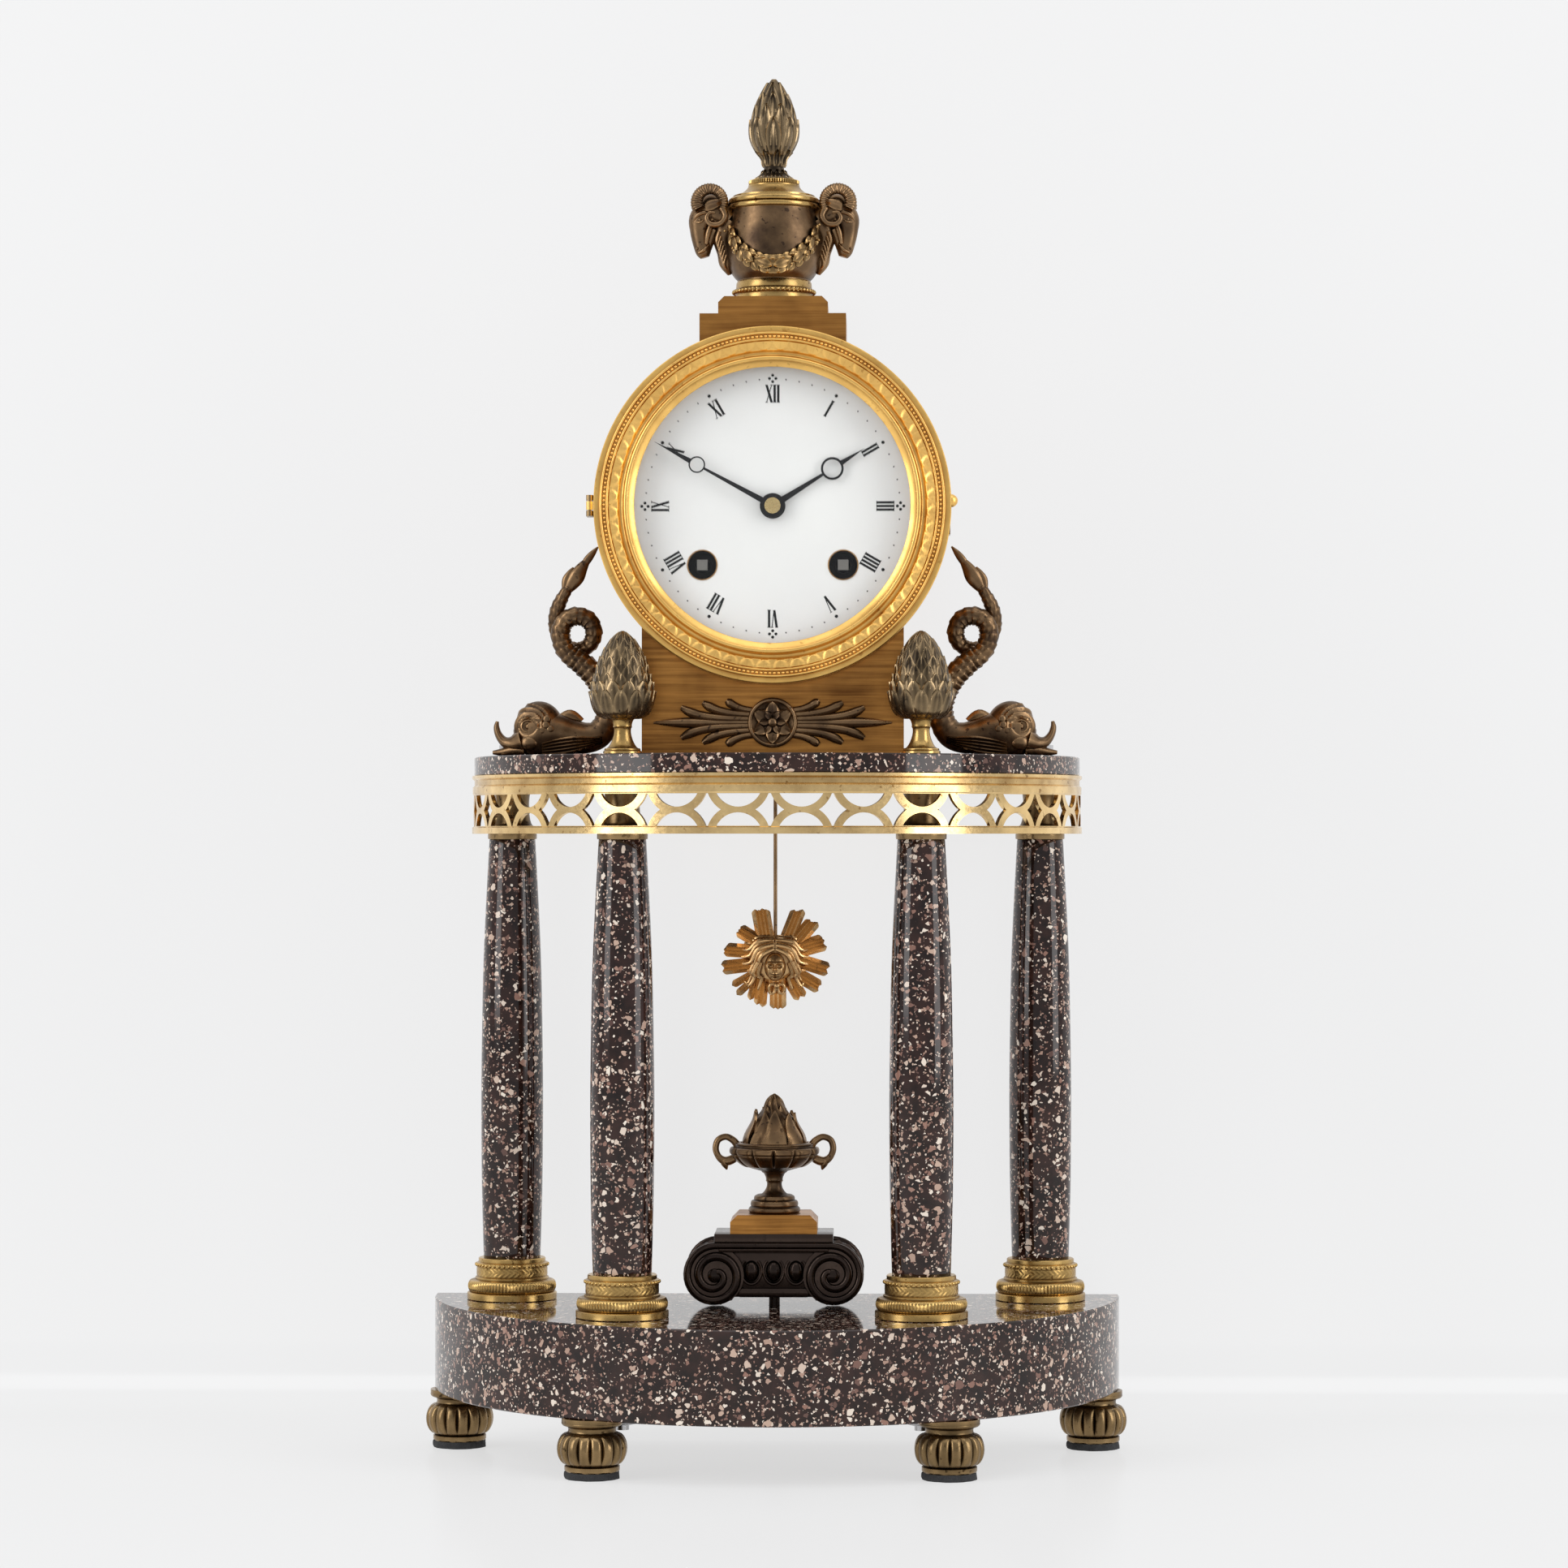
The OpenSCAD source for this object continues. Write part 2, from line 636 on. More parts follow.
// The altar: an ionic capital with two rolls, a step, a tazza and a flame
altar_bore_d = altar_screw_d + 2 * rod_clear;
abacus_w = 43.2;
abacus_h = altar_h - 2 * volute_r + 0.3;
cushion_h = 4.5;
altar_lift = 4.2;
module altar_bore(z, h) {
    translate([0, -altar_t, z - 1]) cylinder(d = altar_bore_d, h = h + 2);
}
module altar_box(w, depth, z, h) {
    translate([-w / 2, -altar_t - depth / 2, z]) cube([w, depth, h]);
}
module volute_roll(x) {
    half = altar_depth / 2;
    translate([x, -altar_t, z_deck + volute_r]) rotate([90, 0, 0]) rotate_extrude() polygon([
        [0, -half], [volute_r, -half], [volute_r, 4 - half], [volute_r - 1.6, 7 - half],
        [volute_r - 2.4, -2], [volute_r - 1, -1.5], [volute_r - 1, 1.5], [volute_r - 2.4, 2],
        [volute_r - 1.6, half - 7], [volute_r, half - 4], [volute_r, half], [0, half]
    ]);
}
module altar_capital() {
    color([0.14, 0.1, 0.08]) difference() {
        union() {
            volute_roll(-volute_x);
            volute_roll(volute_x);
            altar_box(2 * volute_x, altar_depth - 4, z_deck + altar_lift, altar_h - abacus_h - altar_lift);
            altar_box(2 * volute_x, altar_depth - 1, z_altar - abacus_h - cushion_h, cushion_h);
            altar_box(abacus_w, altar_depth - 3, z_altar - abacus_h, abacus_h);
        }
        altar_bore(z_deck, altar_h);
    }
}
module altar_step() {
    w = altar_step_w;
    h = altar_step_h;
    d = altar_depth - 4;
    c = 2.6;
    color([0.84, 0.62, 0.3]) difference() {
        translate([0, d / 2 - altar_t, z_altar]) rotate([90, 0, 0]) linear_extrude(d) polygon([
            [-w / 2, 0], [w / 2, 0], [w / 2, h - c], [w / 2 - c, h], [c - w / 2, h], [-w / 2, h - c]
        ]);
        altar_bore(z_altar, h);
    }
}
tazza_handle_r = 3.4;
tazza_rim_r = 14.1;
tazza_floor = z_tazza + tazza_h * 0.84;
module tazza_bowl() {
    r = tazza_d / 2;
    z = z_tazza;
    h = tazza_h;
    bore = altar_bore_d / 2;
    rotate_extrude() polygon([
        [bore, z], [9.1, z], [9.1, z + 1.8], [7.4, z + 2.6], [4.6, z + h * 0.22],
        [3.6, z + h * 0.36], [4.2, z + h * 0.5], [6, z + h * 0.56], [r * 0.66, z + h * 0.64],
        [r * 0.92, z + h * 0.76], [r, z + h * 0.87], [r * 0.97, z + h * 0.93],
        [tazza_rim_r, z + h * 0.95], [tazza_rim_r, z + h], [r * 0.76, z + h],
        [r * 0.72, tazza_floor], [0, tazza_floor], [0, z + h * 0.4], [bore, z + h * 0.4]
    ]);
}
module altar_tazza() {
    color([0.45, 0.3, 0.14]) {
        translate([0, -altar_t, 0]) tazza_bowl();
        for (s = [-1, 1]) translate([s * (tazza_d / 2 + 1.4), -altar_t, z_tazza + tazza_h * 0.9])
            rotate([90, s > 0 ? 0 : 180, 0]) rotate([0, 0, -145])
                rotate_extrude(angle = 290) translate([tazza_handle_r, 0]) circle(r = 1.1);
    }
}
module altar_flame() {
    r = tazza_d * 0.34;
    color([0.5, 0.34, 0.16]) translate([0, -altar_t, 0]) rotate_extrude() polygon([
        [0, tazza_floor], [r * 0.8, tazza_floor], [r, z_flame + flame_h * 0.1],
        [r * 0.92, z_flame + flame_h * 0.3], [r * 0.66, z_flame + flame_h * 0.55],
        [r * 0.36, z_flame + flame_h * 0.8], [0, z_flame + flame_h]
    ]);
}

// Fixings: two bolts from under the slab into the pedestal, and the altar's long screw
case_bolt_t = (drum_back + t_pedestal) / 2;
case_bolt_bite = 9;
module fixing_bolts() {
    head = z_tazza + tazza_h * 0.34;
    foot = z_base - nut_h;
    color([0.5, 0.45, 0.38]) {
        for (x = [-case_bolt_x, case_bolt_x]) translate([x, -case_bolt_t, 0]) {
            translate([0, 0, z_slab - nut_h]) cylinder(d = nut_corner_d, h = nut_h, $fn = 6);
            translate([0, 0, z_slab]) cylinder(d = rod_d, h = slab_h + case_bolt_bite);
        }
        translate([0, -altar_t, foot]) {
            cylinder(d = altar_screw_d, h = head - foot);
            cylinder(d = nut_corner_d, h = nut_h, $fn = 6);
        }
    }
}

// The hollow pedestal, its top scooped to the drum
module case_pedestal() {
    depth = t_pedestal - drum_back;
    scoop = drum_r + seat_clear;
    color([0.5, 0.36, 0.16]) difference() {
        translate([-pedestal_w / 2, -t_pedestal, z_top]) cube([pedestal_w, depth, pedestal_h + drum_r]);
        translate([0, 1, z_axis]) rotate([90, 0, 0]) cylinder(r = scoop, h = t_front + 2);
        translate([-scoop, -t_front, z_axis - drum_r * cos(asin(pedestal_w / 2 / scoop))])
            cube([2 * scoop, t_front + 1, drum_r + pedestal_h]);
        translate([-pedestal_hollow, pedestal_wall - t_pedestal, z_top - 1])
            cube([2 * pedestal_hollow, depth - 2 * pedestal_wall, pedestal_h + drum_r]);
        for (x = [-case_bolt_x, case_bolt_x]) translate([x, -case_bolt_t, z_top - 1])
            cylinder(d = rod_hole_d, h = case_bolt_bite + 2);
    }
}

// The cast mount on the pedestal: a rosette with a fan of lobes on each side
mount_z = z_top + 11.5;
mount_h = 16.4;
lobe_r = 2.1;
module fan_outline() {
    polygon([[rosette_r - 2, -1.6], [mount_w / 2, 0], [rosette_r - 2, 1.6]]);
    for (s = [-1, 1], k = [0 : 2]) let (x = rosette_r + 5.5 + 8.3 * k, y = mount_h / 2 - lobe_r - 0.8 * k)
        translate([x, s * y]) {
            circle(r = lobe_r);
            polygon([[-lobe_r, 0], [lobe_r, 0], [-5, -s * y], [-9, -s * y]]);
        }
}
module rosette_mount() {
    color([0.28, 0.18, 0.1]) translate([0, -t_pedestal, mount_z]) rotate([90, 0, 0]) {
        cylinder(r = rosette_r, h = 2);
        translate([0, 0, 2]) cylinder(r1 = rosette_r - 1, r2 = 3, h = 1.4);
        translate([0, 0, 3.4]) cylinder(r = 2.4, h = 1);
        linear_extrude(1.6) {
            fan_outline();
            mirror([1, 0]) fan_outline();
        }
    }
}

// The drum case: a tube with a slot for the pendulum and a hole for the urn's bolt
bore_r = drum_r - drum_wall;
module drum_case() {
    color([0.62, 0.45, 0.2]) difference() {
        turned_face() polygon([
            [drum_r, drum_back], [drum_r, t_front], [bore_r, t_front], [bore_r, drum_back]
        ]);
        translate([-slot_l / 2 + 2, -pendulum_t - slot_w / 2, z_top])
            cube([slot_l - 4, slot_w, pedestal_h + 3 * drum_wall]);
        translate([0, -urn_t, z_axis + bore_r - 4])
            cylinder(d = urn_bolt_d + 2 * rod_clear, h = drum_wall + 8);
    }
}

// The ring in the drum's mouth that seats the dial in front and the movement behind
flange_w = 5.5;
flange_r = plate_r - flange_w;
module dial_ring() {
    seat_r = dial_r + door_gap;
    rim_r = bore_r - seat_clear;
    color([0.66, 0.48, 0.22]) turned_face() polygon([
        [rim_r, t_plate], [rim_r, t_front], [seat_r, t_front], [seat_r, t_seat],
        [flange_r, t_seat], [flange_r, t_plate]
    ]);
}

// Two stepped plinths, the urn, its lid and bud, all on one long bolt
urn_bore_d = urn_bolt_d + 2 * rod_clear;
module urn_bore(z, h) {
    translate([0, -urn_t, z - 1]) cylinder(d = urn_bore_d, h = h + 2);
}
module urn_plinth() {
    color([0.55, 0.4, 0.17]) difference() {
        translate([-urn_plinth_w / 2, -urn_t - urn_plinth_depth / 2, z_axis])
            cube([urn_plinth_w, urn_plinth_depth, drum_r + urn_plinth_h]);
        translate([0, 1, z_axis]) rotate([90, 0, 0]) cylinder(r = drum_r + seat_clear, h = t_front + 2);
        urn_bore(z_axis, drum_r + urn_plinth_h);
    }
}
module urn_step() {
    w = urn_step_w;
    depth = urn_plinth_depth - 8;
    c = 2.2;
    color([0.6, 0.43, 0.18]) difference() {
        translate([0, -urn_t + depth / 2, z_step]) rotate([90, 0, 0]) linear_extrude(depth) polygon([
            [-w / 2, 0], [w / 2, 0], [w / 2, urn_step_h - c], [w / 2 - c, urn_step_h],
            [c - w / 2, urn_step_h], [-w / 2, urn_step_h - c]
        ]);
        urn_bore(z_step, urn_step_h);
    }
}
bowl_swell = 3.3;
module urn_outline(bore) {
    f = urn_foot_d / 2;
    r = urn_rim_d / 2;
    b = z_bowl;
    h = urn_bowl_h;
    polygon([
        [bore, z_urn], [f, z_urn], [f, z_urn + 3.6], [f + 1, z_urn + 4.2], [f + 1, z_urn + 6],
        [f - 0.6, b], [f - 0.6, b + 0.5], [f + 1.4, b + h * 0.09], [f + 2.6, b + h * 0.2],
        [f + bowl_swell, b + h * 0.38], [f + bowl_swell, b + h * 0.5], [f + 2.8, b + h * 0.64],
        [f + 1.6, b + h * 0.8], [r - 0.6, b + h * 0.86],
        [r, b + h * 0.9], [r, z_rim - 0.6], [r - 0.6, z_rim], [bore, z_rim]
    ]);
}
module urn_body() {
    color([0.8, 0.58, 0.28]) translate([0, -urn_t, 0]) rotate_extrude() urn_outline(urn_bore_d / 2);
}
module urn_lid() {
    r = urn_rim_d / 2;
    bore = urn_bore_d / 2;
    color([0.8, 0.58, 0.28]) translate([0, -urn_t, 0]) rotate_extrude() polygon([
        [bore, z_rim], [r - 1.6, z_rim], [r - 1.8, z_rim + 1.2], [r - 5, z_rim + urn_lid_h * 0.55],
        [finial_d / 2, z_lid - 1.6], [finial_d / 2, z_lid], [bore, z_lid]
    ]);
}
bolt_into_bud = 14;
module urn_finial() {
    r = finial_d / 2;
    h = finial_h;
    z = z_lid;
    bore = urn_bore_d / 2;
    color([0.75, 0.52, 0.24]) translate([0, -urn_t, 0]) rotate_extrude() polygon([
        [bore, z], [r * 0.86, z], [r * 0.62, z + h * 0.08], [r * 0.47, z + h * 0.16],
        [r * 0.6, z + h * 0.22], [r * 0.86, z + h * 0.32], [r, z + h * 0.46],
        [r * 0.94, z + h * 0.6], [r * 0.7, z + h * 0.76], [r * 0.36, z + h * 0.9],
        [0, z + h], [0, z + bolt_into_bud + 0.5], [bore, z + bolt_into_bud + 0.5]
    ]);
}
urn_nut_h = 3;
module urn_bolt() {
    foot = z_axis + sqrt(pow(drum_r - drum_wall, 2) - 16) - urn_nut_h;
    color([0.5, 0.45, 0.38]) translate([0, -urn_t, foot]) {
        cylinder(d = urn_bolt_d, h = z_lid + bolt_into_bud - foot);
        cylinder(d = 8, h = urn_nut_h, $fn = 6);
    }
}

// Ram heads in profile on the urn's shoulders, with ribbed curled horns
ram_z = z_bowl + urn_bowl_h * 0.84;
ram_skull = [[-1, 0, 5], [6, 2, 5], [9.2, -2, 4], [10.4, -12.4, 2.8], [8.6, -13.4, 2.6]];
ram_neck = [[0, -2, 5], [2, -10, 3.4], [0, -18, 2]];
horn_x = 6.8;
horn_y = 4.2;
horn_z = 4.3;
horn_r = 2.2;
horn_ring_r = 4.9;
module ram_head(side) {
    r = urn_rim_d / 2;
    color([0.72, 0.5, 0.24]) difference() {
        translate([0, -urn_t, ram_z]) mirror([side < 0 ? 1 : 0, 0, 0]) {
            for (form = [ram_skull, ram_neck]) hull() {
                for (p = form) translate([r + p[0], 0, p[1]]) sphere(r = p[2], $fn = 20);
            }
            for (y = [-horn_y, horn_y]) translate([r + horn_x, y, horn_z]) rotate([90, 0, 0])
                rotate_extrude() translate([horn_ring_r, 0]) circle(r = horn_r);
        }
        translate([0, -urn_t, 0]) rotate_extrude() urn_outline(0);
    }
}

// A laurel swag across the front of the urn, hung from one ram to the other
swag_steps = 24;
swag_sides = 10;
swag_end_r = 1.5;
swag_r = urn_foot_d / 2 + bowl_swell + 1.2;
swag_half = acos((horn_y + horn_r + swag_end_r + 0.4) / swag_r);
swag_top = z_bowl + urn_bowl_h * 0.82;
swag_drop = urn_bowl_h * 0.54;
function swag_point(k) =
    let (u = 2 * k / swag_steps - 1, a = swag_half * u, z = swag_top - swag_drop * (1 - u * u))
        [swag_r * sin(a), -swag_r * cos(a), z];
function swag_thick(k) = swag_end_r + 1.3 * sin(180 * k / swag_steps);
module urn_garland() {
    n = swag_steps + 1;
    rings = [
        for (k = [0 : swag_steps])
            let (p = swag_point(k), q = [p[0], p[1], 0] / norm([p[0], p[1]]))
            let (d = swag_point(min(swag_steps, k + 1)) - swag_point(max(0, k - 1)))
            let (e = cross(d, q) / norm(cross(d, q)))
                for (i = [0 : swag_sides - 1])
                    let (a = 360 * i / swag_sides)
                        p + swag_thick(k) * (cos(a) * q + sin(a) * e)
    ];
    skin = [
        for (k = [0 : swag_steps - 1], i = [0 : swag_sides - 1])
            let (m = (i + 1) % swag_sides, a = k * swag_sides, b = a + swag_sides)
                each [[a + i, b + i, a + m], [a + m, b + i, b + m]]
    ];
    caps = [
        for (i = [0 : swag_sides - 1])
            let (m = (i + 1) % swag_sides, e = swag_steps * swag_sides)
                each [[n * swag_sides, i, m], [n * swag_sides + 1, e + m, e + i]]
    ];
    color([0.74, 0.52, 0.25]) translate([0, -urn_t, 0]) difference() {
        polyhedron(
            concat(rings, [swag_point(0), swag_point(swag_steps)]), concat(skin, caps), convexity = 4
        );
        rotate_extrude() urn_outline(0);
    }
}

// Dolphins beside the drum: head on the slab, tail in a ring and raised, all sized by the reach
dolphin_shape = [
    [-102.4, 8.5, 2.5], [-99, 9.5, 6.5], [-93, 10.5, 9], [-85.5, 11, 8.6], [-77, 9, 7.2],
    [-68.5, 6.6, 6.4], [-59.8, 9.2, 5.6], [-57.2, 17, 5], [-60.8, 26, 4.5], [-66, 32, 4.2],
    [-74, 36.6, 4], [-81, 43.5, 3.9], [-81.6, 52, 3.5], [-79.4, 59, 3], [-76, 65, 2.2]
];
tail_ring = [-72.2, 45.4, 6, 3.1];
tail_fin = [[-77.2, 62, 1.8], [-64.6, 76, 0.9], [-69.5, 62.6, 0.9]];
outer_fin = [[-77.2, 62, 1.8], [-86, 77, 0.9], [-78, 73, 0.9]];
breast_fin = [[-88, 17, 1.6], [-76, 21, 0.9], [-78, 12, 1.6]];
dolphin_k = dolphin_reach / 104.9;
dolphin_steps = 4;
dolphin_flat = 0.86;
module fin(points) {
    hull() for (p = points) translate([p[0], 0, p[1]] * dolphin_k) sphere(r = p[2] * dolphin_k, $fn = 16);
}
module dolphin(side) {
    path = smooth_path(dolphin_shape * dolphin_k, dolphin_steps);
    color([0.36, 0.25, 0.14]) mirror([side > 0 ? 1 : 0, 0, 0]) translate([0, -dolphin_t, z_top])
        difference() {
            union() {
                swept_tube(path, 14, dolphin_flat);
                translate([tail_ring[0], 0, tail_ring[1]] * dolphin_k) rotate([90, 0, 0])
                    rotate_extrude() translate([tail_ring[2] * dolphin_k, 0])
                        circle(r = tail_ring[3] * dolphin_k);
                fin(tail_fin);
                fin(outer_fin);
                fin(breast_fin);
            }
            translate(-dolphin_reach * [2, 1, 1]) cube(dolphin_reach * [2, 2, 1]);
        }
}

// Pinecone finials screwed on the inner tie rods
module pinecone(i) {
    r = pinecone_d / 2;
    z = z_top;
    h = pinecone_h;
    bore = rod_hole_d / 2;
    color([0.5, 0.35, 0.17]) on_circle(column_circle_r, column_angles[i]) rotate_extrude() polygon([
        [bore, z], [7, z], [7, z + 1.4], [5.2, z + 2.4], [3.6, z + 5], [3.3, z + h * 0.2],
        [4.6, z + h * 0.27], [4.6, z + h * 0.31], [r * 0.72, z + h * 0.36], [r * 0.95, z + h * 0.45],
        [r, z + h * 0.53], [r * 0.92, z + h * 0.66], [r * 0.66, z + h * 0.82], [r * 0.3, z + h * 0.95],
        [0, z + h], [0, z + rod_into_cone + 0.3], [bore, z + rod_into_cone + 0.3]
    ]);
}

// The enamel dial with its centre hole and two winding holes
module dial() {
    color("white") difference() {
        forward(t_seat, dial_h) circle(r = dial_r);
        round_bar(center_at, hour_pipe_r + 0.4, t_seat - 1, dial_h + 2);
        for (p = [going_at, strike_at]) round_bar(p, winding_hole_r, t_seat - 1, dial_h + 2);
    }
}

// Movement plates with pivot holes; the back plate carries bell stud and hammer stud
bell_depth = 12;
t_bell_mouth = pendulum_t - 2;
t_bell_apex = t_bell_mouth - bell_depth;
bell_wall = 1.6;
bell_stud_r = 2.5;
bell_neck_r = 1.6;
hammer_stud_r = 1.5;
module pivot_holes(t) {
    for (p = [inter_at, third_at, escape_at])
        round_bar(p, pivot_r + run_clear, t - 1, plate_h + 2);
    round_bar(pivot_at, arbor_r + run_clear, t - 1, plate_h + 2);
}
module front_plate() {
    color([0.78, 0.63, 0.3]) {
        difference() {
            forward(t_inside, plate_h) circle(r = plate_r);
            pivot_holes(t_inside);
            round_bar(center_at, cannon_pipe_r + run_clear, t_inside - 1, plate_h + 2);
            for (p = [going_at, strike_at])
                round_bar(p, winding_r + run_clear, t_inside - 1, plate_h + 2);
        }
        round_bar(minute_at, pivot_r, t_inside + plate_h / 2, plate_h / 2 + motion_space - 0.6);
    }
}
module back_plate() {
    color([0.78, 0.63, 0.3]) {
        difference() {
            forward(t_back, plate_h) circle(r = plate_r);
            pivot_holes(t_back);
            round_bar(center_at, arbor_r + run_clear, t_back - 1, plate_h + 2);
            for (p = [going_at, strike_at])
                round_bar(p, winding_r + run_clear, t_back - 1, plate_h + 2);
        }
        stud_end = t_bell_apex + bell_wall;
        round_bar(bell_at, bell_stud_r, stud_end, t_back - stud_end);
        round_bar(bell_at, bell_neck_r, t_bell_apex - 1.4, 3.2);
        round_bar(hammer_at, hammer_stud_r, t_crutch - 2.4, t_back - t_crutch + 2.4);
    }
}
module plate_pillars() {
    color([0.74, 0.58, 0.27]) for (a = pillar_angles)
        round_bar(pillar_circle_r * [cos(a), sin(a)], 3.5, t_back_inside, plate_gap);
}

// The strike bell, mouth to the plate, on its stud
module bell() {
    t = t_bell_apex;
    color([0.6, 0.56, 0.48]) translate([bell_at[0], 0, bell_at[1]]) turned_face() polygon([
        [bell_neck_r + run_clear, t], [bell_r * 0.3, t], [bell_r * 0.62, t + 1.6],
        [bell_r * 0.84, t + 4.4], [bell_r * 0.94, t + 8], [bell_r, t_bell_mouth],
        [bell_r - bell_wall, t_bell_mouth], [bell_r * 0.94 - bell_wall, t + 8.2],
        [bell_r * 0.82 - bell_wall, t + 5.2], [bell_r * 0.58, t + 1.6 + bell_wall],
        [bell_r * 0.3, t + bell_wall], [bell_neck_r + run_clear, t + bell_wall]
    ]);
}

// The bridge that holds the pendulum's pivot pin behind the back plate
cock_w = 24;
cock_h = 13;
cock_post_x = 9;
cock_post_r = 2.2;
cock_bar_t = 2.5;
cock_pin_r = 0.8;
eye_h = 1.4;
module suspension_cock() {
    t = pendulum_t - eye_h / 2 - 0.8 - cock_bar_t;
    color([0.74, 0.58, 0.27]) {
        translate([-cock_w / 2, -t - cock_bar_t, z_pivot - 2.4]) cube([cock_w, cock_bar_t, cock_h]);
        for (x = [-cock_post_x, cock_post_x])
            round_bar([x, pivot_rise + 6.5], cock_post_r, t + 1, t_back - t - 1);
        round_bar(pivot_at, cock_pin_r, t + 1, cock_bar_t + 0.4 + eye_h);
    }
}

// Fixed knuckles, leaves and pins of the bezel hinge and of the rear door hinge
module hinge_side(x, t, r, h, s, leaf_t, drum_side) {
    leaf_front = max(leaf_t, leaf_t - leaf_depth * sign(t - leaf_t));
    for (up = [-1, 1]) {
        z = up > 0 ? leaf_end : -leaf_end - h;
        translate([0, 0, z_axis + z]) difference() {
            union() {
                translate([x, -t, 0]) cylinder(r = r, h = h);
                translate([min(x, x + s * r), -max(t, leaf_t), 0])
                    cube([r, abs(leaf_t - t), h]);
                translate([min(x + s * r, drum_side), -leaf_front, 0])
                    cube([abs(x + s * r - drum_side), leaf_depth, h]);
            }
            translate([x, -t, -1]) cylinder(r = pin_r + seat_clear, h = h + 2);
            translate([0, 0, -z]) rotate([90, 0, 0])
                cylinder(r = drum_r + seat_clear, h = t_front + 1);
        }
    }
    translate([x, -t, z_axis - leaf_end - h]) cylinder(r = pin_r, h = 2 * (leaf_end + h));
}
module case_hinges() {
    color([0.72, 0.55, 0.26]) {
        hinge_side(hinge_x, hinge_t, knuckle_r, leaf_h, -1, t_front - door_gap, -drum_r + 1.5);
        hinge_side(rear_hinge_x, rear_hinge_t, rear_knuckle_r, rear_leaf_h, 1, drum_back + door_gap + 0.8,
            drum_r - 1.5);
    }
}

// The hinged rear door with a small knob
module rear_door() {
    r = drum_r - 0.5;
    reach = rear_hinge_x - drum_r + 3;
    color([0.64, 0.47, 0.22]) difference() {
        union() {
            forward(rear_door_t, rear_door_h) circle(r = r);
            translate([rear_hinge_x - reach, -rear_door_t - rear_door_h, z_axis - knuckle_h / 2])
                cube([reach, rear_door_h, knuckle_h]);
            translate([rear_hinge_x, -rear_hinge_t, z_axis - knuckle_h / 2])
                cylinder(r = rear_knuckle_r, h = knuckle_h);
            round_bar([-r + 8, 0], 2.4, rear_door_t - 4, 4.5);
        }
        translate([rear_hinge_x, -rear_hinge_t, z_axis - knuckle_h])
            cylinder(r = pin_r + run_clear, h = 2 * knuckle_h);
    }
}

// The turned bezel with its knuckle and catch, and the glass in its rebate
module bezel() {
    f = t_bezel_front;
    r = bezel_r;
    w = window_r;
    color([0.95, 0.75, 0.38]) difference() {
        union() {
            turned_face() polygon([
                [r, t_bezel], [r, f - 2.2], [r - 0.5, f - 1.8], [r - 2, f - 1.8], [r - 2.3, f - 0.4],
                [r - 2.8, f], [r - 3.1, f - 0.4], [r - 3.3, f - 1.3], [r - 4.4, f - 1.3],
                [r - 4.7, f - 0.5], [r - 5.2, f - 0.2], [r - 5.6, f - 0.5], [w + 5.9, f - 2.1],
                [w + 5.2, f - 2.7], [w + 4.4, f - 2.5], [w + 3.9, f - 1.6], [w + 3.4, f - 0.9],
                [w + 2.6, f - 0.8], [w + 2.2, f - 1.1], [w, f - 2.5], [w, t_glass + glass_h],
                [glass_r + 0.1, t_glass + glass_h], [glass_r + 0.1, t_glass - 0.6],
                [w + 4.6, t_glass - 0.6], [w + 6.5, t_bezel]
            ]);
            translate([hinge_x, -hinge_t, z_axis - knuckle_h / 2])
                cylinder(r = knuckle_r, h = knuckle_h);
            translate([hinge_x, -hinge_t - knuckle_r, z_axis - knuckle_h / 2])
                cube([4, knuckle_r, knuckle_h]);
            translate([r - 1.2, -hinge_t - 1, z_axis + 1.5]) rotate([0, 90, 0]) cylinder(r = 2.4, h = 2.6);
        }
        translate([hinge_x, -hinge_t, z_axis - knuckle_h])
            cylinder(r = pin_r + run_clear, h = 2 * knuckle_h);
    }
}
module bezel_glass() {
    color([0.8, 0.9, 0.95, 0.3]) forward(t_glass, glass_h) circle(r = glass_r);
}

// Moon-tipped hands: a tapering blade, a ring and a long point
module hand_outline(len_all, ring_at, ring_r, hole_r, root_w, boss_r) {
    difference() {
        union() {
            circle(r = boss_r);
            translate([0, ring_at]) circle(r = ring_r);
            polygon([[-root_w / 2, 0], [root_w / 2, 0], [0.35, ring_at], [-0.35, ring_at]]);
            polygon([[-0.9, ring_at + ring_r - 0.4], [0.9, ring_at + ring_r - 0.4], [0, len_all]]);
        }
        translate([0, ring_at]) circle(r = hole_r);
    }
}
module minute_hand() {
    color([0.05, 0.05, 0.06]) difference() {
        forward(t_minute_hand, hand_h) rotate(-minute_angle)
            hand_outline(minute_l, minute_l * 0.638, 3, 2.5, 2.2, 4.2);
        round_bar(center_at, cannon_pipe_r + run_clear / 2, t_minute_hand - 1, hand_h + 2);
    }
}
module hour_hand() {
    color([0.05, 0.05, 0.06]) difference() {
        forward(t_hour_hand, hand_h) rotate(-hour_angle)
            hand_outline(hour_l, hour_l * 0.65, 4.1, 3.3, 2.6, 4.6);
        round_bar(center_at, hour_pipe_r + run_clear / 2, t_hour_hand - 1, hand_h + 2);
    }
}

